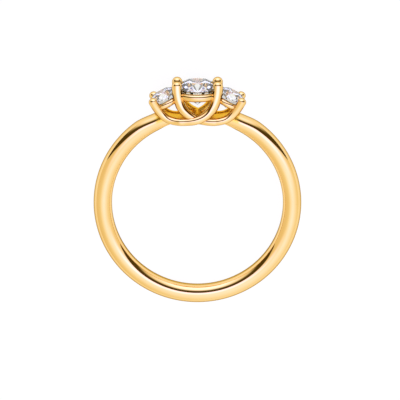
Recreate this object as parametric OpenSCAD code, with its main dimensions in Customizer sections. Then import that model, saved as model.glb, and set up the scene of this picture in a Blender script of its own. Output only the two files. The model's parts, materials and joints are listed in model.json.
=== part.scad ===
// A three stone ring lying on its side: a round gold band, a woven trellis head of four
// crossing wires, three gallery rails and three round cut stones. Sizes are in millimetres.
// It is drawn with the finger hole along Z, the head towards +Y and the viewer's side up,
// and is then tipped and lifted by place() until it rests on the band and the head.

/* [Finger hole and band] */
// Inside diameter of the ring
hole_d = 17.1; // [14:0.1:21]
// Diameter of the round band
band_d = 1.88; // [1.4:0.02:2.4]
// How deep the finger hole flattens the inside of the band
land_depth = 0.05; // [0.02:0.01:0.15]
// Sideways distance at which the inside of the band leaves the finger hole's circle
relief_x = 3.85; // [3.5:0.05:4.2]
// How far the inside of the band has left that circle where the wires are lowest
relief_rise = 0.29; // [0.2:0.01:0.34]
// How far the top of the band lies there above the wires' middle
saddle_rise = 0.2; // [0.1:0.01:0.3]

/* [Stones] */
// Diameter of the middle stone
center_stone_d = 4.1; // [3.6:0.1:5]
// Diameter of each side stone
side_stone_d = 3.1; // [2.6:0.1:3.6]
// Width of the table as a share of the stone's diameter
table_share = 0.56; // [0.5:0.01:0.62]
// Height of the crown as a share of the stone's diameter
crown_share = 0.15; // [0.12:0.005:0.17]
// Depth of the pavilion as a share of the stone's diameter
pavilion_share = 0.43; // [0.41:0.005:0.45]
// Height of the girdle as a share of the stone's diameter
girdle_share = 0.025; // [0.015:0.005:0.04]
// How far the star facets reach from the table towards the girdle, as a share
star_share = 0.5; // [0.4:0.05:0.6]
// How far the lower half facets reach from the girdle towards the culet, as a share
lower_half_share = 0.77; // [0.7:0.01:0.85]
// Clearance between a stone and the metal that holds it
stone_gap = 0.04; // [0.02:0.01:0.08]

/* [Places of the stones] */
// Height of the middle stone's table above the finger hole
table_rise = 4.05; // [3.8:0.05:4.8]
// How far the side stones lean outwards, in degrees
side_tilt = 27; // [20:1:32]
// How far a side stone's inner edge tucks under the middle stone's edge
side_tuck = 0.06; // [0:0.02:0.1]
// How far a side stone's inner edge lies below the middle stone's girdle
side_drop = 0.19; // [0.17:0.01:0.3]

/* [Prongs and wires] */
// Diameter of the four prongs round the middle stone
prong_d = 1.02; // [0.8:0.02:1.2]
// Diameter of the outer prongs
outer_prong_d = 0.86; // [0.7:0.02:1]
// Diameter of the wires where they pass under the stones
wire_d = 0.74; // [0.62:0.01:0.8]
// Angle of a middle prong round its stone, from the line through the three stones
prong_angle = 26.5; // [24:0.5:34]
// Angle of an outer prong round its stone, from the same line
outer_prong_angle = 53.5; // [48:0.5:60]
// How far a middle prong bites over the stone's edge
prong_bite = 0.32; // [0.24:0.02:0.4]
// How far an outer prong bites over its stone's edge
outer_prong_bite = 0.28; // [0.18:0.02:0.32]
// How far the rim of a middle prong's tip lies below the table
tip_drop = 0.28; // [0.2:0.01:0.32]
// How far the rim of an outer prong's tip lies below the side table
outer_tip_drop = 0.23; // [0.16:0.01:0.28]
// Height of the dome on a middle prong
tip_dome = 0.41; // [0.32:0.01:0.5]
// Height of the dome on an outer prong
outer_tip_dome = 0.31; // [0.24:0.01:0.4]

/* [Weave of the wires] */
// Sideways distance from the middle of the head to a wire's lowest point
base_x = 1.68; // [1.5:0.01:1.8]
// Distance of a wire's lowest point from the middle plane
base_z = 1.6; // [1.4:0.01:1.8]
// How far beyond the band's side the middle of a wire lies where it joins the band
shoulder_out = 0.18; // [0.06:0.01:0.22]
// Height of a wire's lowest point above the finger hole
wire_rise = 0.01; // [0.01:0.01:0.08]
// How far the upper wire of a crossing lifts away from the middle plane
over_lift = 0.15; // [0.1:0.01:0.25]
// How far the lower wire of a crossing dips towards the middle plane
under_dip = 0.17; // [0.1:0.01:0.3]
// Sideways distance from the crossing over which the lift and the dip fade
weave_reach = 1.4; // [1.2:0.02:1.6]

/* [Curves of the wires] */
// Reach of the curve that leaves an outer prong
outer_curve = 2.05; // [1.8:0.05:2.4]
// Reach of the curve that comes to a wire's lowest point from outside
base_outer_curve = 1.15; // [0.8:0.05:1.4]
// Reach of the curve that leaves a wire's lowest point inwards
base_inner_curve = 2.15; // [1.9:0.05:2.5]
// Reach of the curve that comes up to a middle prong's tip
prong_curve = 2.75; // [2.4:0.05:3]
// How far that curve leans out from the tip, away from the middle plane
prong_lean = 0.5; // [0.3:0.05:0.6]
// How much sooner than its tip an inner curve reaches the prong's full diameter
swell = 1.3; // [1:0.05:1.5]

/* [Gallery rails] */
// Diameter of the middle rail's wire
rail_d = 0.78; // [0.6:0.02:0.8]
// Diameter of a side rail's wire
side_rail_d = 0.62; // [0.5:0.02:0.7]
// Radius of the middle rail as a share of the middle stone's radius
rail_share = 0.88; // [0.85:0.01:0.92]
// How far the middle rail lies below the middle of the girdle
rail_drop = 0.69; // [0.62:0.01:0.72]
// Radius of a side rail as a share of a side stone's radius
side_rail_share = 0.82; // [0.8:0.01:0.86]
// How far a side rail lies below the middle of its girdle
side_rail_drop = 0.67; // [0.62:0.01:0.7]

/* [Hidden] */
$fn = 96;
gold = [0.93, 0.74, 0.38];
diamond = [0.9, 0.93, 0.97];

// Sides of a wire and steps along its two curves and its dome
wire_sides = 16;
outer_steps = 13;
inner_steps = 16;
dome_steps = 5;
// How far short of a dome's top its last ring of points stops, as a share of a step
dome_stop = 0.4;
// The angle at which a dome starts, with a slight crease at its rim, and how full it is
dome_start = 26;
dome_power = 0.8;
// Sides of a stone's table, and points round its girdle
table_sides = 8;
girdle_points = 4 * table_sides;
facet_step = 360 / girdle_points;
// Where on a wire's outer curve the hollow in the band starts
hollow_step = 0.25;

hole_r = hole_d / 2;
band_r = band_d / 2;
// Radius of the circle along which the band's middle runs
band_ring_r = hole_r - land_depth + band_r;
center_r = center_stone_d / 2;
side_r = side_stone_d / 2;

// Heights of the girdles' middles, and the middle of a side stone's girdle
girdle_y = hole_r + table_rise - center_stone_d * (crown_share + girdle_share / 2);
side_x = center_r - side_tuck + side_r * cos(side_tilt);
side_y = girdle_y - side_drop - side_r * sin(side_tilt);

// Places of the prongs' tips, at the rim where the dome starts
prong_reach = center_r + prong_d / 2 - prong_bite;
prong_tip = [
    prong_reach * cos(prong_angle),
    hole_r + table_rise - tip_drop,
    prong_reach * sin(prong_angle)
];
outer_reach = side_r + outer_prong_d / 2 - outer_prong_bite;
outer_rise = side_stone_d * (crown_share + girdle_share / 2) - outer_tip_drop;
outer_tip = [
    -side_x - outer_reach * cos(outer_prong_angle) * cos(side_tilt) - outer_rise * sin(side_tilt),
    side_y - outer_reach * cos(outer_prong_angle) * sin(side_tilt) + outer_rise * cos(side_tilt),
    outer_reach * sin(outer_prong_angle)
];
outer_down = [sin(side_tilt), -cos(side_tilt), 0];

// Distance of the wires from the middle plane where they join the band
shoulder_z = band_r + shoulder_out;

// The lowest point of a wire's middle line
base_reach = hole_r + wire_rise + wire_d / 2;
base = [-base_x, sqrt(pow(base_reach, 2) - pow(base_x, 2)), base_z];

function bezier(p, t) =
    pow(1 - t, 3) * p[0] + 3 * pow(1 - t, 2) * t * p[1] + 3 * (1 - t) * t * t * p[2] + pow(t, 3) * p[3];
function ease(t) = t * t * (3 - 2 * t);
function mix(a, b, t) = a + (b - a) * t;
function unit(v) = v / norm(v);

// A wire's two curves, from an outer prong's tip to its lowest point, and on to a middle
// prong's tip
outer_bend = [
    outer_tip,
    outer_tip + outer_curve * outer_down + [0, 0, shoulder_z - outer_tip.z],
    [base.x - base_outer_curve, base.y, shoulder_z],
    base
];
inner_bend = [
    base,
    base + [base_inner_curve, 0, 0],
    prong_tip + [0, -prong_curve, prong_lean],
    prong_tip
];

// A wire's middle line passes over or under its neighbour near the middle of the head.
// shift is how far it moves away from the middle plane there.
function woven(p, shift) = p + [0, 0, shift * pow(max(0, 1 - pow(p.x / weave_reach, 2)), 2)];

// The sections of a wire, each as [point, radius]
function wire_sections(shift) = concat(
    [for (i = [0:outer_steps]) let (t = i / outer_steps)
        [woven(bezier(outer_bend, t), shift), mix(outer_prong_d, wire_d, ease(t)) / 2]],
    [for (i = [1:inner_steps]) let (t = i / inner_steps)
        [woven(bezier(inner_bend, t), shift), mix(wire_d, prong_d, ease(min(1, swell * t))) / 2]]
);

// The sections of a prong's dome beyond its rim, from the rim to the top
function dome_sections(rim, out, r, rise) = [
    for (i = [1:dome_steps])
        let (
            a = mix(dome_start, 90, i / (dome_steps + dome_stop)),
            height = rise * (sin(a) - sin(dome_start)) / (1 - sin(dome_start))
        )
        [rim + out * height, r * pow(cos(a) / cos(dome_start), dome_power)]
];
function reversed(list) = [for (i = [len(list) - 1:-1:0]) list[i]];
function whole_wire(shift) = concat(
    reversed(dome_sections(outer_tip, -outer_down, outer_prong_d / 2, outer_tip_dome)),
    wire_sections(shift),
    dome_sections(prong_tip, [0, 1, 0], prong_d / 2, tip_dome)
);

// The points of a round tube through sections, and its faces
function along(s, i) = unit(s[min(i + 1, len(s) - 1)][0] - s[max(i - 1, 0)][0]);
function tube_ring(s, i) =
    let (side = unit(cross([0, 0, 1], along(s, i))), up = cross(along(s, i), side))
    [for (k = [0:wire_sides - 1]) let (a = 360 * (k + 0.5) / wire_sides)
        s[i][0] + s[i][1] * (side * cos(a) + up * sin(a))];
function tube_points(s) = [for (i = [0:len(s) - 1]) each tube_ring(s, i)];
function tube_faces(count) = concat(
    [[for (k = [0:wire_sides - 1]) k]],
    [for (i = [0:count - 2], k = [0:wire_sides - 1])
        let (next = (k + 1) % wire_sides)
        [i * wire_sides + k, (i + 1) * wire_sides + k,
         (i + 1) * wire_sides + next, i * wire_sides + next]],
    [[for (k = [wire_sides - 1:-1:0]) (count - 1) * wire_sides + k]]
);

// How the ring rests. Each point of a back wire's underside and the band's low edge
// would touch the floor together at some tip of the ring, and it rests at the largest.
low_points = [
    for (shift = [over_lift, -under_dip], p = tube_points(whole_wire(shift))) [p.y, p.z]
];
rest_tilt = max([
    for (p = low_points)
        let (from_band = [p[0] + band_ring_r, p[1]])
        atan2(from_band.y, from_band.x) - asin(band_r / norm(from_band))
]);
// The floor's height and the ends of the tipped ring along Y, before it is moved
floor_z = -band_ring_r * sin(rest_tilt) - band_r;
back_y = -band_ring_r * cos(rest_tilt) - band_r;
front_y = max([for (p = low_points) max(
    p[0] * cos(rest_tilt) + p[1] * sin(rest_tilt),
    p[0] * cos(rest_tilt) - p[1] * sin(rest_tilt)
)]);

module place() {
    translate([0, -(front_y + back_y) / 2, -floor_z])
        rotate([rest_tilt, 0, 0])
            children();
}

// Where a side stone's own frame lies, with its axis along its Z
module at_side(side) {
    translate([side * side_x, side_y, 0])
        rotate([0, 0, -side * side_tilt])
            rotate([-90, 0, 0])
                children();
}
module at_center() {
    translate([0, girdle_y, 0])
        rotate([-90, 0, 0])
            children();
}

module wire(shift) {
    sections = whole_wire(shift);
    polyhedron(points = tube_points(sections), faces = tube_faces(len(sections)), convexity = 6);
}

// The two wires that cross on one side of the head
module wire_pair() {
    wire(over_lift);
    mirror([1, 0, 0])
        wire(-under_dip);
}

// The point at a sideways distance x on a circle about the finger hole
function on_hole(r, x) = [x, sqrt(r * r - x * x)];

// Cuts a round space with its middle at the sideways distance x, through the points a and b
module round_cut(x, a, b) {
    y = (pow(a.x - x, 2) + pow(a.y, 2) - pow(b.x - x, 2) - pow(b.y, 2)) / (2 * (a.y - b.y));
    translate([x, y, 0])
        cylinder(r = norm([a.x - x, a.y - y]), h = 2 * band_d, center = true);
}

// The band runs on under the head as a thin saddle between the front and back wires
module band() {
    start = bezier(outer_bend, hollow_step);
    difference() {
        rotate_extrude()
            translate([band_ring_r, 0])
                circle(d = band_d);
        cylinder(r = hole_r, h = 2 * band_d, center = true);
        // Under each side stone a hollow follows the wires
        for (side = [-1, 1])
            round_cut(side * base_x, [-side * start.x, start.y], [side * base_x, base.y + saddle_rise]);
        // The inside rises to the wires
        round_cut(0, on_hole(hole_r, relief_x), on_hole(hole_r + relief_rise, base_x));
    }
}

// A rail of round wire about a stone's axis
module rail(r, d) {
    rotate_extrude()
        translate([r, 0])
            circle(d = d);
}

// The space that a stone and its clearance take out of the metal
module seat(d) {
    r = d / 2 + stone_gap;
    half_girdle = d * girdle_share / 2 + stone_gap;
    table_r = d * table_share / 2 + stone_gap;
    rotate_extrude()
        polygon([
            [0, -half_girdle - d * pavilion_share],
            [r, -half_girdle],
            [r, half_girdle],
            [table_r, half_girdle + d * crown_share],
            [0, half_girdle + d * crown_share]
        ]);
}

// A round brilliant about its own axis, with its girdle's middle at the origin
function on_circle(r, a, z) = [r * cos(a), r * sin(a), z];
function height_on_plane(a, b, c, x, y) =
    let (n = cross(b - a, c - a)) a.z - (n.x * (x - a.x) + n.y * (y - a.y)) / n.z;
function girdle_ring(r, z, inner) = [
    for (k = [0:girdle_points - 1])
        let (
            a = k * facet_step,
            low = on_circle(r, 2 * floor(k / 2) * facet_step, z),
            high = on_circle(r, 2 * (floor(k / 2) + 1) * facet_step, z),
            corner = inner[floor(k / 4)],
            p = on_circle(r, a, z)
        )
        k % 2 == 0 ? p : [p.x, p.y, height_on_plane(low, high, corner, p.x, p.y)]
];
module brilliant(d) {
    r = d / 2;
    table_r = r * table_share;
    half_girdle = d * girdle_share / 2;
    crown = d * crown_share;
    pavilion = d * pavilion_share;
    star_r = mix(table_r, r, star_share);
    star_z = half_girdle + crown * (r - star_r * cos(2 * facet_step)) / (r - table_r);
    lower_r = r * (1 - lower_half_share);
    lower_z = -half_girdle - pavilion * (1 - lower_r * cos(2 * facet_step) / r);
    sides = [0:table_sides - 1];
    last = table_sides - 1;
    table = [for (i = sides) on_circle(table_r, 4 * i * facet_step, half_girdle + crown)];
    stars = [for (i = sides) on_circle(star_r, (4 * i + 2) * facet_step, star_z)];
    lowers = [for (i = sides) on_circle(lower_r, (4 * i + 2) * facet_step, lower_z)];
    upper = girdle_ring(r, half_girdle, stars);
    lower = girdle_ring(r, -half_girdle, lowers);
    // Where each group of corners starts in the list of points
    star_at = len(table);
    upper_at = star_at + len(stars);
    lower_at = upper_at + len(upper);
    lowers_at = lower_at + len(lower);
    culet = lowers_at + len(lowers);
    polyhedron(
        points = concat(table, stars, upper, lower, lowers, [[0, 0, -half_girdle - pavilion]]),
        faces = concat(
            [[for (i = [last:-1:0]) i]],
            [for (i = sides) [i, (i + 1) % table_sides, star_at + i]],
            [for (i = sides)
                [i, star_at + i, upper_at + 4 * i, star_at + (i + last) % table_sides]],
            [for (i = sides, h = [0, 2]) let (k = 4 * i + h)
                [star_at + i, upper_at + (k + 2) % girdle_points, upper_at + k + 1, upper_at + k]],
            [for (k = [0:girdle_points - 1]) let (next = (k + 1) % girdle_points)
                [upper_at + k, upper_at + next, lower_at + next, lower_at + k]],
            [for (i = sides, h = [0, 2]) let (k = 4 * i + h)
                [lowers_at + i, lower_at + k, lower_at + k + 1, lower_at + (k + 2) % girdle_points]],
            [for (i = sides)
                [culet, lowers_at + (i + last) % table_sides, lower_at + 4 * i, lowers_at + i]]
        ),
        convexity = 2
    );
}

module mounting() {
    color(gold)
        place()
            difference() {
                union() {
                    band();
                    wire_pair();
                    rotate([0, 180, 0])
                        wire_pair();
                    at_center()
                        translate([0, 0, -rail_drop])
                            rail(center_r * rail_share, rail_d);
                    for (side = [-1, 1])
                        at_side(side)
                            translate([0, 0, -side_rail_drop])
                                rail(side_r * side_rail_share, side_rail_d);
                }
                at_center()
                    seat(center_stone_d);
                for (side = [-1, 1])
                    at_side(side)
                        seat(side_stone_d);
            }
}

module center_stone() {
    color(diamond)
        place()
            at_center()
                brilliant(center_stone_d);
}

module side_stone(side) {
    color(diamond)
        place()
            at_side(side)
                brilliant(side_stone_d);
}
module side_stone_left() {
    side_stone(-1);
}
module side_stone_right() {
    side_stone(1);
}

mounting();
center_stone();
side_stone_left();
side_stone_right();
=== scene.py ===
"""A three stone ring of polished yellow gold, lying on a pale floor.

The gold is modelled again, smooth and fine, in the shape that the frame's solid has. Shapes
are worked out in millimetres in the ring's own frame, where the finger hole runs along Z and
the head points towards +Y, and are then laid down as the frame's ring lies.
"""
import json
import math

import bpy
from mathutils import Matrix, Vector


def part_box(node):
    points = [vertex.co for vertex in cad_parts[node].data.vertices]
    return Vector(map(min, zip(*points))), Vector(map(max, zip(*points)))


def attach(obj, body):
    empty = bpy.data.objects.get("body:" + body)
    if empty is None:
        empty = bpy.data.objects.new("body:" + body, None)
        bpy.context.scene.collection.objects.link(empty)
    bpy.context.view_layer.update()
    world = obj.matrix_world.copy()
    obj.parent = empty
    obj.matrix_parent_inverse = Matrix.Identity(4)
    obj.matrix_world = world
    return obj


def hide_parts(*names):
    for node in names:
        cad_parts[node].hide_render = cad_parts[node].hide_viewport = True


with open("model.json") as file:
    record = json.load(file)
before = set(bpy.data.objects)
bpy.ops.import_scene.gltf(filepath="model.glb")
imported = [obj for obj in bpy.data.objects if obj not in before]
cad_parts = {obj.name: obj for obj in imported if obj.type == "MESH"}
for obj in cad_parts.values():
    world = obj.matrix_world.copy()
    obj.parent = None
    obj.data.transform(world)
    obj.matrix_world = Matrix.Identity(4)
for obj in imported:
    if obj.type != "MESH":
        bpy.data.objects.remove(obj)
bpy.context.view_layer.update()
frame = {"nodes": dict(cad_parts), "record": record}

MM = 0.001

# The finger hole's mount says how the ring lies: where its middle is, and its axis
HOLE = frame["record"]["mounts"][0]
TILT = math.atan2(-HOLE["axis"][1], HOLE["axis"][2])
RING_MIDDLE = Vector(HOLE["pos_m"])
LAY = Matrix.Translation(RING_MIDDLE) @ Matrix.Rotation(TILT, 4, "X") @ Matrix.Scale(MM, 4)


# ---- Sizes, as in the frame's source -------------------------------------------------------

HOLE_R = HOLE["dims"]["r_mm"]
BAND_R = 0.94
LAND_DEPTH = 0.05
BAND_RING_R = HOLE_R - LAND_DEPTH + BAND_R
RELIEF_X = 3.85
RELIEF_RISE = 0.29
SADDLE_RISE = 0.2

CENTER_D = 4.1
SIDE_D = 3.1
TABLE_SHARE = 0.56
CROWN_SHARE = 0.15
PAVILION_SHARE = 0.43
GIRDLE_SHARE = 0.025
STONE_GAP = 0.04

TABLE_RISE = 4.05
SIDE_TILT = math.radians(27)
SIDE_TUCK = 0.06
SIDE_DROP = 0.19

PRONG_D = 1.02
OUTER_PRONG_D = 0.86
WIRE_D = 0.74
PRONG_ANGLE = math.radians(26.5)
OUTER_PRONG_ANGLE = math.radians(53.5)
PRONG_BITE = 0.32
OUTER_PRONG_BITE = 0.28
TIP_DROP = 0.28
OUTER_TIP_DROP = 0.23
TIP_DOME = 0.41
OUTER_TIP_DOME = 0.31
DOME_START = math.radians(26)
DOME_POWER = 0.8

BASE_X = 1.68
BASE_Z = 1.6
SHOULDER_Z = 1.12
WIRE_RISE = 0.01
OVER_LIFT = 0.15
UNDER_DIP = 0.17
WEAVE_REACH = 1.4
OUTER_CURVE = 2.05
BASE_OUTER_CURVE = 1.15
BASE_INNER_CURVE = 2.15
PRONG_CURVE = 2.75
PRONG_LEAN = 0.5
SWELL = 1.3
HOLLOW_AT = 0.25

RAIL_D = 0.78
SIDE_RAIL_D = 0.62
RAIL_SHARE = 0.88
RAIL_DROP = 0.69
SIDE_RAIL_SHARE = 0.82
SIDE_RAIL_DROP = 0.67

# How fine the surfaces are
WIRE_SIDES = 40
WIRE_STEPS = 54
DOME_STEPS = 14
BAND_STEPS = 288
BAND_SIDES = 48
RAIL_STEPS = 144
RAIL_SIDES = 32
SEAT_STEPS = 128
CUT_SIDES = 384
# Where two faces turn away from each other by more than this, the edge between them is sharp
SHARP_EDGE = math.radians(32)

# How far a round cut reaches to each side of the middle plane
CUT_REACH = 2
# A dome's first ring lies this share of a step past its rim, which keeps the crease there crisp
CREASE_SHARE = 0.1

# The band's outside lowers a little where it comes to the head
TAPER = 0.17
TAPER_START = math.radians(37)
TAPER_END = math.radians(24.8)


# ---- Places worked out from the sizes ------------------------------------------------------

CENTER_R = CENTER_D / 2
SIDE_R = SIDE_D / 2
GIRDLE_Y = HOLE_R + TABLE_RISE - CENTER_D * (CROWN_SHARE + GIRDLE_SHARE / 2)
SIDE_X = CENTER_R - SIDE_TUCK + SIDE_R * math.cos(SIDE_TILT)
SIDE_Y = GIRDLE_Y - SIDE_DROP - SIDE_R * math.sin(SIDE_TILT)

prong_reach = CENTER_R + PRONG_D / 2 - PRONG_BITE
PRONG_TIP = Vector((
    prong_reach * math.cos(PRONG_ANGLE),
    HOLE_R + TABLE_RISE - TIP_DROP,
    prong_reach * math.sin(PRONG_ANGLE),
))
outer_reach = SIDE_R + OUTER_PRONG_D / 2 - OUTER_PRONG_BITE
outer_rise = SIDE_D * (CROWN_SHARE + GIRDLE_SHARE / 2) - OUTER_TIP_DROP
outer_along = outer_reach * math.cos(OUTER_PRONG_ANGLE)
OUTER_TIP = Vector((
    -SIDE_X - outer_along * math.cos(SIDE_TILT) - outer_rise * math.sin(SIDE_TILT),
    SIDE_Y - outer_along * math.sin(SIDE_TILT) + outer_rise * math.cos(SIDE_TILT),
    outer_reach * math.sin(OUTER_PRONG_ANGLE),
))
OUTER_DOWN = Vector((math.sin(SIDE_TILT), -math.cos(SIDE_TILT), 0))
BASE = Vector((
    -BASE_X,
    math.sqrt((HOLE_R + WIRE_RISE + WIRE_D / 2) ** 2 - BASE_X ** 2),
    BASE_Z,
))

OUTER_BEND = (
    OUTER_TIP,
    OUTER_TIP + OUTER_CURVE * OUTER_DOWN + Vector((0, 0, SHOULDER_Z - OUTER_TIP.z)),
    Vector((BASE.x - BASE_OUTER_CURVE, BASE.y, SHOULDER_Z)),
    BASE,
)
INNER_BEND = (
    BASE,
    BASE + Vector((BASE_INNER_CURVE, 0, 0)),
    PRONG_TIP + Vector((0, -PRONG_CURVE, PRONG_LEAN)),
    PRONG_TIP,
)

# Where a stone's own frame lies, with its axis along its Z
AT_CENTER = Matrix.Translation((0, GIRDLE_Y, 0)) @ Matrix.Rotation(-math.pi / 2, 4, "X")


def at_side(side):
    return (Matrix.Translation((side * SIDE_X, SIDE_Y, 0))
            @ Matrix.Rotation(-side * SIDE_TILT, 4, "Z")
            @ Matrix.Rotation(-math.pi / 2, 4, "X"))


# ---- Small tools ---------------------------------------------------------------------------

def ease(t):
    t = min(1.0, max(0.0, t))
    return t * t * (3 - 2 * t)


def mix(a, b, t):
    return a + (b - a) * t


def bezier(p, t):
    s = 1 - t
    return p[0] * s ** 3 + p[1] * (3 * s * s * t) + p[2] * (3 * s * t * t) + p[3] * t ** 3


def mesh_object(name, points, faces):
    mesh = bpy.data.meshes.new(name)
    mesh.from_pydata([tuple(p) for p in points], [], faces)
    mesh.update()
    obj = bpy.data.objects.new(name, mesh)
    bpy.context.scene.collection.objects.link(obj)
    return obj


def drop(obj):
    mesh = obj.data
    bpy.data.objects.remove(obj)
    bpy.data.meshes.remove(mesh)


def cut(obj, *cutters):
    """Cuts each of the cutters out of obj, and drops the cutters."""
    for cutter in cutters:
        modifier = obj.modifiers.new("cut", "BOOLEAN")
        modifier.operation = "DIFFERENCE"
        modifier.solver = "EXACT"
        modifier.object = cutter
    cut_mesh = bpy.data.meshes.new_from_object(
        obj.evaluated_get(bpy.context.evaluated_depsgraph_get()))
    old = obj.data
    obj.modifiers.clear()
    obj.data = cut_mesh
    bpy.data.meshes.remove(old)
    for cutter in cutters:
        drop(cutter)
    return obj


def grid_faces(rows, columns, close_rows):
    """Quads of a grid of points that is closed along its columns."""
    faces = []
    for i in range(rows if close_rows else rows - 1):
        for k in range(columns):
            here, up = i * columns, (i + 1) % rows * columns
            right = (k + 1) % columns
            faces.append((here + k, up + k, up + right, here + right))
    return faces


def revolved(name, profile, steps, at, closed=False):
    """Turns a profile of (radius, height) about Z; an open one starts and ends on the axis."""
    points, faces = [], []
    rim = profile if closed else profile[1:-1]
    for i in range(steps):
        a = 2 * math.pi * i / steps
        points += [at @ Vector((r * math.cos(a), r * math.sin(a), z)) for r, z in rim]
    count = len(rim)
    for i in range(steps):
        here, there = i * count, (i + 1) % steps * count
        for k in range(count if closed else count - 1):
            up = (k + 1) % count
            faces.append((here + k, there + k, there + up, here + up))
        if not closed:
            faces.append((steps * count, there, here))
            faces.append((here + count - 1, there + count - 1, steps * count + 1))
    if not closed:
        points += [at @ Vector((0, 0, profile[0][1])), at @ Vector((0, 0, profile[-1][1]))]
    return mesh_object(name, points, faces)


def seat(d, at):
    """The space that a stone and its clearance take out of the gold."""
    r = d / 2 + STONE_GAP
    half_girdle = d * GIRDLE_SHARE / 2 + STONE_GAP
    top = half_girdle + d * CROWN_SHARE
    return revolved("seat", [
        (0, -half_girdle - d * PAVILION_SHARE),
        (r, -half_girdle),
        (r, half_girdle),
        (d * TABLE_SHARE / 2 + STONE_GAP, top),
        (0, top),
    ], SEAT_STEPS, at)


# ---- The gold ------------------------------------------------------------------------------

def rod(name, x, y, radius, sides):
    """A round rod along Z."""
    points = []
    for z in (-CUT_REACH, CUT_REACH):
        for k in range(sides):
            a = 2 * math.pi * k / sides
            points.append(Vector((x + radius * math.cos(a), y + radius * math.sin(a), z)))
    faces = [(k, (k + 1) % sides, sides + (k + 1) % sides, sides + k) for k in range(sides)]
    faces.append(tuple(range(sides - 1, -1, -1)))
    faces.append(tuple(range(sides, 2 * sides)))
    return mesh_object(name, points, faces)


def round_cut(x, a, b):
    """A round space with its middle at the sideways distance x, through the points a and b."""
    y = (((a.x - x) ** 2 + a.y ** 2) - ((b.x - x) ** 2 + b.y ** 2)) / (2 * (a.y - b.y))
    return rod("round_cut", x, y, math.hypot(a.x - x, a.y - y), CUT_SIDES)


def on_circle(radius, x):
    """The point at the sideways distance x on a circle about the finger hole's axis."""
    return Vector((x, math.sqrt(radius * radius - x * x)))


def make_band():
    land = math.acos((BAND_RING_R - HOLE_R) / BAND_R)
    # The section's points start and end at the edges of the flat that the finger hole leaves,
    # and two more lie on the flat
    angles = [mix(land, 2 * math.pi - land, k / (BAND_SIDES - 1)) for k in range(BAND_SIDES)]
    angles += [-land / 3, land / 3]
    points = []
    for i in range(BAND_STEPS):
        turn = 2 * math.pi * i / BAND_STEPS
        from_head = min(turn, 2 * math.pi - turn)
        lower = TAPER * ease((TAPER_START - from_head) / (TAPER_START - TAPER_END))
        share = 1 - lower / (BAND_RING_R + BAND_R - HOLE_R)
        for a in angles:
            r = max(HOLE_R, BAND_RING_R - BAND_R * math.cos(a))
            r = HOLE_R + (r - HOLE_R) * share
            points.append(Vector((r * math.sin(turn), r * math.cos(turn), BAND_R * math.sin(a))))
    band = mesh_object("band", points, grid_faces(BAND_STEPS, len(angles), True))
    start = bezier(OUTER_BEND, HOLLOW_AT)
    hollows = [
        round_cut(side * BASE_X, Vector((-side * start.x, start.y)),
                  Vector((side * BASE_X, BASE.y + SADDLE_RISE)))
        for side in (-1, 1)
    ]
    relief = round_cut(0, on_circle(HOLE_R, RELIEF_X), on_circle(HOLE_R + RELIEF_RISE, BASE_X))
    return cut(band, relief, *hollows)


def wire_sections(shift):
    """The sections of one wire from tip to tip, each as its middle and its radius."""
    def woven(p):
        lift = shift * max(0.0, 1 - (p.x / WEAVE_REACH) ** 2) ** 2
        return p + Vector((0, 0, lift))

    def dome(rim, out, r, rise):
        """A cap that meets its wire at a slight crease, from the rim to near the top."""
        low = math.sin(DOME_START)
        angles = [mix(DOME_START, math.pi / 2, i / DOME_STEPS) for i in range(DOME_STEPS)]
        angles[0] = mix(DOME_START, angles[1], CREASE_SHARE)
        return [(rim + out * (rise * (math.sin(a) - low) / (1 - low)),
                 r * (math.cos(a) / math.cos(DOME_START)) ** DOME_POWER) for a in angles]

    sections = dome(OUTER_TIP, -OUTER_DOWN, OUTER_PRONG_D / 2, OUTER_TIP_DOME)[::-1]
    for i in range(WIRE_STEPS + 1):
        t = i / WIRE_STEPS
        sections.append((woven(bezier(OUTER_BEND, t)), mix(OUTER_PRONG_D, WIRE_D, ease(t)) / 2))
    for i in range(1, WIRE_STEPS + 1):
        t = i / WIRE_STEPS
        width = mix(WIRE_D, PRONG_D, ease(SWELL * t))
        sections.append((woven(bezier(INNER_BEND, t)), width / 2))
    return sections + dome(PRONG_TIP, Vector((0, 1, 0)), PRONG_D / 2, TIP_DOME)


def make_wire(shift, flip):
    sections = wire_sections(shift)
    middles = [s[0] for s in sections]
    points = []
    for i, (middle, r) in enumerate(sections):
        along = (middles[min(i + 1, len(middles) - 1)] - middles[max(i - 1, 0)]).normalized()
        side = Vector((0, 0, 1)).cross(along).normalized()
        up = along.cross(side)
        for k in range(WIRE_SIDES):
            a = 2 * math.pi * k / WIRE_SIDES
            points.append(middle + r * (side * math.cos(a) + up * math.sin(a)))
    faces = grid_faces(len(sections), WIRE_SIDES, False)
    start, end = len(points), len(points) + 1
    last = (len(sections) - 1) * WIRE_SIDES
    points.append(OUTER_TIP - OUTER_DOWN * OUTER_TIP_DOME)
    points.append(PRONG_TIP + Vector((0, TIP_DOME, 0)))
    for k in range(WIRE_SIDES):
        right = (k + 1) % WIRE_SIDES
        faces.append((start, k, right))
        faces.append((end, last + right, last + k))
    points = [flip @ p for p in points]
    if flip.determinant() < 0:
        faces = [face[::-1] for face in faces]
    wire = mesh_object("wire", points, faces)
    return cut(wire, seat(CENTER_D, AT_CENTER), seat(SIDE_D, at_side(-1)), seat(SIDE_D, at_side(1)))


def make_rail(r, d, drop_by, at, stones):
    profile = [
        (r + d / 2 * math.cos(2 * math.pi * k / RAIL_SIDES),
         d / 2 * math.sin(2 * math.pi * k / RAIL_SIDES) - drop_by)
        for k in range(RAIL_SIDES)
    ]
    rail = revolved("rail", profile, RAIL_STEPS, at, closed=True)
    return cut(rail, *[seat(size, place) for size, place in stones])


# The recess, where the gold gets painted shade in a deep orange and a satin roughness, is full
# up to a height above the finger hole's wall and ends at another, and it fades out below that
# wall and far to the sides
RECESS_FULL = 1.9
RECESS_END = 2.7
RECESS_BELOW = 0.3
RECESS_SIDE = 3.9
RECESS_SIDE_FADE = 0.4
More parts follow.
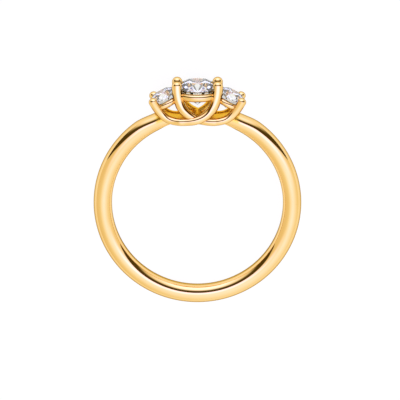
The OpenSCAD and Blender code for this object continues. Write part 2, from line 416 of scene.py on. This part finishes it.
# A face counts a little while it looks outwards by less than the first of these, and fully once
# it has turned inwards from there by the second
RECESS_LOOK = 0.25
RECESS_LOOK_FADE = 0.5


def recess(point, normal):
    """How much a point of the gold lies in the recess under the stones, from 0 to 1.

    Those are the faces that look at the middle plane between the front and back wires, and
    the top of the saddle. No polishing wheel reaches them, so the gold there is satin; its
    deep orange there is painted shade, standing in for the shade between the wires.
    """
    inwards = -normal.z if point.z > 0 else normal.z
    if abs(point.z) < BAND_R:
        inwards = max(inwards, normal.y)
    height = point.y - HOLE_R
    low = 1 - ease((height - RECESS_FULL) / (RECESS_END - RECESS_FULL))
    inside = 1 - ease((abs(point.x) - RECESS_SIDE) / RECESS_SIDE_FADE)
    above = ease((height + RECESS_BELOW) / RECESS_BELOW)
    return ease((inwards + RECESS_LOOK) / RECESS_LOOK_FADE) * low * inside * above


def join(name, parts):
    """Joins parts into one piece, laid down as the frame's ring lies and kept in its box."""
    points, faces, recesses = [], [], []
    for part in parts:
        first = len(points)
        points += [LAY @ v.co for v in part.data.vertices]
        recesses += [recess(v.co, v.normal) for v in part.data.vertices]
        faces += [tuple(first + i for i in p.vertices) for p in part.data.polygons]
        drop(part)
    # The finer arcs would pass the solid's facets by a few thousandths of a millimetre
    low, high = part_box("mounting")
    points = [Vector([min(max(c, a), b) for c, a, b in zip(p, low, high)]) for p in points]
    piece = mesh_object(name, points, faces)
    piece.data.shade_smooth()
    piece.data.set_sharp_from_angle(angle=SHARP_EDGE)
    shares = piece.data.attributes.new("recess", "FLOAT", "POINT")
    shares.data.foreach_set("value", recesses)
    return piece


def make_mounting():
    center = (CENTER_D, AT_CENTER)
    left = (SIDE_D, at_side(-1))
    right = (SIDE_D, at_side(1))
    flip_x = Matrix.Scale(-1, 4, (1, 0, 0))
    turn = Matrix.Rotation(math.pi, 4, "Y")
    parts = [make_band()]
    for back in (Matrix.Identity(4), turn):
        parts.append(make_wire(OVER_LIFT, back))
        parts.append(make_wire(-UNDER_DIP, back @ flip_x))
    parts.append(make_rail(CENTER_R * RAIL_SHARE, RAIL_D, RAIL_DROP, AT_CENTER,
                           (center, left, right)))
    for place in (left, right):
        parts.append(make_rail(SIDE_R * SIDE_RAIL_SHARE, SIDE_RAIL_D, SIDE_RAIL_DROP, place[1],
                               (place, center)))
    return join("mounting_gold", parts)


# ---- Materials -----------------------------------------------------------------------------

# Most of a noise's values lie in this range
NOISE_RANGE = (0.3, 0.7)
# Each look is a pair between which a fine noise varies it
GOLD_BRIGHT = ((0.955, 0.64, 0.25), (0.98, 0.68, 0.29))
# This pair is painted shade: the deep orange of the gold in the recess under the stones
GOLD_RECESS_SHADE = ((0.97, 0.57, 0.05), (1.0, 0.63, 0.08))
MIRROR_ROUGH = (0.02, 0.06)
SATIN_ROUGH = (0.24, 0.34)
DIAMOND_TINT = ((0.95, 0.99, 0.96), (0.975, 1, 0.98))
DIAMOND_ROUGH = (0.0, 0.012)
FLOOR_TINT = ((0.1, 0.1, 0.1), (0.103, 0.103, 0.103))
# The gold's colour where it is seen edge on: outside the recess, and in it. The dark one outside
# the recess paints shade on the gold's rims.
GOLD_EDGE_RIM_SHADE = ((0.36, 0.25, 0.1), (0.9, 0.75, 0.4))
# How deep the gold's hand finish and its fine polishing lines are, in metres
HAND_DEPTH = 0.000004
LINE_DEPTH = 0.0000015


class Nodes:
    """Adds nodes to a material or the world, and links them."""

    def __init__(self, owner):
        owner.use_nodes = True
        self.tree = owner.node_tree
        self.tree.nodes.clear()

    def add(self, kind, settings=None, **inputs):
        """Adds a node; an input's name has _ for each space."""
        node = self.tree.nodes.new(kind)
        for key, value in (settings or {}).items():
            setattr(node, key, value)
        for key, value in inputs.items():
            self.set(node, key.replace("_", " "), value)
        return node

    def set(self, node, key, value):
        """Sets or links an input, named by its key or, as i0 and so on, by its number."""
        socket = node.inputs[int(key[1:]) if key[0] == "i" and key[1:].isdigit() else key]
        if isinstance(value, bpy.types.NodeSocket):
            self.tree.links.new(value, socket)
        else:
            socket.default_value = value


def ranged(nodes, value, low, high, to_low, to_high, smooth=False):
    """Maps a range of a value to another range, and stays at its ends beyond them."""
    node = nodes.add("ShaderNodeMapRange", {
        "interpolation_type": "SMOOTHSTEP" if smooth else "LINEAR",
    })
    nodes.set(node, "Value", value)
    for key, number in (("From Min", low), ("From Max", high),
                        ("To Min", to_low), ("To Max", to_high)):
        nodes.set(node, key, number)
    return node.outputs["Result"]


def two_colours(nodes, value, low, high):
    """A colour that goes from one to another as a value goes through the noise's range."""
    ramp = nodes.add("ShaderNodeValToRGB", Fac=value)
    for element, at, colour in zip(ramp.color_ramp.elements, NOISE_RANGE, (low, high)):
        element.position = at
        element.color = (*colour, 1)
    return ramp.outputs["Color"]


def blend(nodes, share, low, high):
    """A colour or a number that lies between two others by a share."""
    kind = "RGBA" if low.type == "RGBA" else "FLOAT"
    node = nodes.add("ShaderNodeMix", {"data_type": kind})
    # The node has a pair of inputs and an output for each kind, so they go by their numbers
    first = {"FLOAT": 2, "RGBA": 6}[kind]
    nodes.tree.links.new(share, node.inputs[0])
    nodes.tree.links.new(low, node.inputs[first])
    nodes.tree.links.new(high, node.inputs[first + 1])
    return node.outputs[{"FLOAT": 0, "RGBA": 2}[kind]]


def make_gold():
    material = bpy.data.materials.new("polished_gold")
    nodes = Nodes(material)
    place = nodes.add("ShaderNodeTexCoord").outputs["Object"]
    soft = nodes.add("ShaderNodeTexNoise", Vector=place, Scale=260.0, Detail=2.0, Roughness=0.5)
    hand = nodes.add("ShaderNodeTexNoise", Vector=place, Scale=1100.0, Detail=3.0, Roughness=0.55)
    stretch = nodes.add("ShaderNodeMapping", Vector=place, Scale=(900.0, 2600.0, 9000.0))
    lines = nodes.add("ShaderNodeTexNoise", Vector=stretch.outputs["Vector"], Scale=1.0,
                      Detail=4.0, Roughness=0.6)
    inside = nodes.add("ShaderNodeAttribute", {"attribute_name": "recess"}).outputs["Fac"]

    bright = two_colours(nodes, soft.outputs["Fac"], *GOLD_BRIGHT)
    # Painted shade: the gold in the recess under the stones turns deep orange
    deep = two_colours(nodes, hand.outputs["Fac"], *GOLD_RECESS_SHADE)
    colour = blend(nodes, inside, bright, deep)
    # Painted shade: the dark colour seen edge on outside the recess darkens the gold's rims
    edge = two_colours(nodes, inside, *GOLD_EDGE_RIM_SHADE)

    mirror = ranged(nodes, lines.outputs["Fac"], *NOISE_RANGE, *MIRROR_ROUGH)
    satin = ranged(nodes, hand.outputs["Fac"], *NOISE_RANGE, *SATIN_ROUGH)
    rough = blend(nodes, inside, mirror, satin)

    wave = nodes.add("ShaderNodeBump", Height=hand.outputs["Fac"], Strength=0.25,
                     Distance=HAND_DEPTH)
    scratch = nodes.add("ShaderNodeBump", Height=lines.outputs["Fac"], Strength=0.2,
                        Distance=LINE_DEPTH, Normal=wave.outputs["Normal"])
    shader = nodes.add("ShaderNodeBsdfPrincipled", Metallic=1.0, Roughness=rough,
                       Base_Color=colour, Normal=scratch.outputs["Normal"],
                       Specular_Tint=edge)
    nodes.add("ShaderNodeOutputMaterial", Surface=shader.outputs["BSDF"])
    return material


def make_diamond():
    material = bpy.data.materials.new("cut_diamond")
    nodes = Nodes(material)
    place = nodes.add("ShaderNodeTexCoord").outputs["Object"]
    cloud = nodes.add("ShaderNodeTexNoise", Vector=place, Scale=700.0, Detail=3.0, Roughness=0.5)
    tint = two_colours(nodes, cloud.outputs["Fac"], *DIAMOND_TINT)
    rough = ranged(nodes, cloud.outputs["Fac"], 0.4, 0.75, *DIAMOND_ROUGH)
    shader = nodes.add("ShaderNodeBsdfPrincipled", Roughness=rough, IOR=2.417,
                       Transmission_Weight=1.0, Base_Color=tint)
    nodes.add("ShaderNodeOutputMaterial", Surface=shader.outputs["BSDF"])
    return material


def make_floor_paint():
    """A white that glows evenly, so that the whole floor is equally bright."""
    material = bpy.data.materials.new("pale_floor")
    nodes = Nodes(material)
    place = nodes.add("ShaderNodeTexCoord").outputs["Object"]
    grain = nodes.add("ShaderNodeTexNoise", Vector=place, Scale=60.0, Detail=4.0, Roughness=0.6)
    tint = two_colours(nodes, grain.outputs["Fac"], *FLOOR_TINT)
    shader = nodes.add("ShaderNodeBsdfPrincipled", Roughness=0.9, Base_Color=tint,
                       Emission_Color=tint, Emission_Strength=9.1)
    nodes.add("ShaderNodeOutputMaterial", Surface=shader.outputs["BSDF"])
    return material


# ---- The studio ----------------------------------------------------------------------------

# The studio's light comes from all around. A wide sheet of light hangs overhead and turns
# warm and dim towards its edges, a lamp shines from in front of the head, and a dark gap lies
# between the two. Places are shares of a direction along the ring's X and Y.
SHEET_AT = (0.2, -0.2)
SHEET_SQUEEZE = 1.3
SHEET_LIGHT = (
    (0, (1.25, 1.24, 1.85)),
    (0.25, (1.2, 1.2, 1.7)),
    (0.45, (1.1, 1.13, 1.4)),
    (0.6, (1.05, 1.08, 1.25)),
    (0.75, (1.0, 1.0, 1.0)),
    (0.9, (0.96, 0.93, 0.8)),
    (1.05, (0.92, 0.85, 0.65)),
    (1.4, (0.86, 0.76, 0.54)),
)
# Next to the gap the sheet has a brighter strip. It grows between two places ahead, and fades
# between two distances to each side of its middle.
STRIP_LIGHT = (0.4, 0.35, 1.6)
STRIP_GROWS = (-0.2, 0.08)
STRIP_MIDDLE = 0.1
STRIP_FADES = (0.3, 0.85)
# The lamp's light changes with the angle away from its middle, in degrees
LAMP_AT = 81
LAMP_LIGHT = (
    (0, (1.8, 1.8, 2.7)),
    (24, (1.5, 1.5, 2.5)),
    (33, (1.1, 1.15, 1.5)),
    (42, (0.93, 0.88, 0.8)),
    (50, (0.82, 0.74, 0.55)),
    (62, (0.6, 0.52, 0.38)),
    (90, (0.35, 0.28, 0.19)),
)
# The gap's two edges lie at one place near the middle and at another far to the sides. Each
# goes from one to the other between two distances to the sides, and is blurred by some way
# before and after.
GAP_START = (0.282, 0.217)
GAP_START_SIDES = (0.85, 1)
GAP_START_BLUR = 0.02
GAP_END = (0.69, 0.63)
GAP_END_SIDES = (0, 0.6)
GAP_END_BLUR = 0.09
GAP_LIGHT = (0.08, 0.055, 0.01)


def make_world():
    """The light that comes from each direction."""
    world = bpy.data.worlds.new("studio")
    bpy.context.scene.world = world
    nodes = Nodes(world)
    way = nodes.add("ShaderNodeTexCoord").outputs["Generated"]

    def along(axis):
        dot = nodes.add("ShaderNodeVectorMath", {"operation": "DOT_PRODUCT"})
        nodes.set(dot, "i0", way)
        nodes.set(dot, "i1", tuple(axis))
        return dot.outputs["Value"]

    def sums(operation, *values):
        node = nodes.add("ShaderNodeMath", {"operation": operation})
        for i, value in enumerate(values):
            nodes.set(node, f"i{i}", value)
        return node.outputs[0]

    def colours(value, steps):
        """Colours by a value, which may be brighter than one."""
        last = steps[-1][0]
        peak = max(max(colour) for _, colour in steps)
        ramp = nodes.add("ShaderNodeValToRGB", Fac=sums("DIVIDE", value, last))
        elements = ramp.color_ramp.elements
        while len(elements) < len(steps):
            elements.new(0.5)
        for element, (at, colour) in zip(elements, steps):
            element.position = at / last
            element.color = (*[c / peak for c in colour], 1)
        return times(ramp.outputs["Color"], peak)

    def added(colour, other):
        whole = nodes.add("ShaderNodeVectorMath", {"operation": "ADD"})
        nodes.set(whole, "i0", colour)
        nodes.set(whole, "i1", other)
        return whole.outputs["Vector"]

    def times(colour, value):
        scaled = nodes.add("ShaderNodeVectorMath", {"operation": "SCALE"})
        nodes.set(scaled, "i0", colour)
        nodes.set(scaled, "Scale", value)
        return scaled.outputs["Vector"]

    ring_y = Matrix.Rotation(TILT, 3, "X") @ Vector((0, 1, 0))
    ring_z = Matrix.Rotation(TILT, 3, "X") @ Vector((0, 0, 1))
    sideways, ahead = along((1, 0, 0)), along(ring_y)
    far = sums("MULTIPLY", sums("SUBTRACT", sideways, SHEET_AT[0]), SHEET_SQUEEZE)
    near = sums("SUBTRACT", ahead, SHEET_AT[1])
    away = sums("SQRT", sums("ADD", sums("POWER", sums("ABSOLUTE", far), 2),
                             sums("POWER", sums("ABSOLUTE", near), 2)))
    strip = sums("MULTIPLY", ranged(nodes, ahead, *STRIP_GROWS, 0, 1, smooth=True),
                 ranged(nodes, sums("ABSOLUTE", sums("SUBTRACT", sideways, STRIP_MIDDLE)),
                        *STRIP_FADES, 1, 0, smooth=True))
    sheet = added(colours(away, SHEET_LIGHT), times(STRIP_LIGHT, strip))
    lamp_at = math.radians(LAMP_AT)
    lamp_axis = ring_y * math.sin(lamp_at) + ring_z * math.cos(lamp_at)
    angle = sums("DEGREES", sums("ARCCOSINE", along(lamp_axis)))
    lamp = colours(angle, LAMP_LIGHT)

    aside = sums("ABSOLUTE", sideways)
    start = ranged(nodes, aside, *GAP_START_SIDES, *GAP_START)
    end = ranged(nodes, aside, *GAP_END_SIDES, *GAP_END)
    under = ranged(nodes, sums("SUBTRACT", ahead, start),
                   -GAP_START_BLUR, GAP_START_BLUR, 1, 0, smooth=True)
    over = ranged(nodes, sums("SUBTRACT", ahead, end),
                  -GAP_END_BLUR, GAP_END_BLUR, 0, 1, smooth=True)
    beyond = added(times(lamp, over), times(GAP_LIGHT, sums("SUBTRACT", 1, over)))
    whole = added(times(sheet, under), times(beyond, sums("SUBTRACT", 1, under)))
    light = nodes.add("ShaderNodeBackground", Color=whole, Strength=1.0)
    nodes.add("ShaderNodeOutputWorld", Surface=light.outputs["Background"])


# How far the floor reaches to each side, in metres
FLOOR_REACH = 3.0


def make_floor():
    corners = [FLOOR_REACH * Vector((x, y, 0)) for x, y in ((-1, -1), (1, -1), (1, 1), (-1, 1))]
    floor = mesh_object("floor", corners, [(0, 1, 2, 3)])
    floor.data.materials.append(make_floor_paint())


# The camera's angle to the ring's axis, towards the head, and to straight above
CAMERA_ANGLE = math.radians(16.3)
CAMERA_LEAN = CAMERA_ANGLE - TILT
# How far away it is in metres, and how far to the right and up it looks past the ring's middle,
# in millimetres
CAMERA_AWAY = 0.25
CAMERA_RIGHT = 0.255
CAMERA_UP = 0.32


def make_camera():
    back = Vector((0, math.sin(CAMERA_LEAN), math.cos(CAMERA_LEAN)))
    up = Vector((0, math.cos(CAMERA_LEAN), -math.sin(CAMERA_LEAN)))
    right = Vector((1, 0, 0))
    camera = bpy.data.cameras.new("camera")
    camera.sensor_width = 36
    camera.lens = 225
    camera.clip_start = 0.01
    holder = bpy.data.objects.new("camera", camera)
    bpy.context.scene.collection.objects.link(holder)
    turn = Matrix((right, up, back)).transposed().to_4x4()
    aim = RING_MIDDLE + CAMERA_RIGHT * MM * right + CAMERA_UP * MM * up
    holder.matrix_world = Matrix.Translation(aim + CAMERA_AWAY * back) @ turn
    bpy.context.scene.camera = holder


# ---- Putting it together -------------------------------------------------------------------

gold = make_gold()
mounting = make_mounting()
mounting.data.materials.append(gold)
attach(mounting, "root")
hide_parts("mounting")

diamond = make_diamond()
for name in ("center_stone", "side_stone_left", "side_stone_right"):
    stone = frame["nodes"][name]
    if not stone.material_slots:
        stone.data.materials.append(diamond)
    for slot in stone.material_slots:
        slot.material = diamond

make_world()
make_floor()
make_camera()
bpy.context.scene.view_settings.view_transform = "Standard"
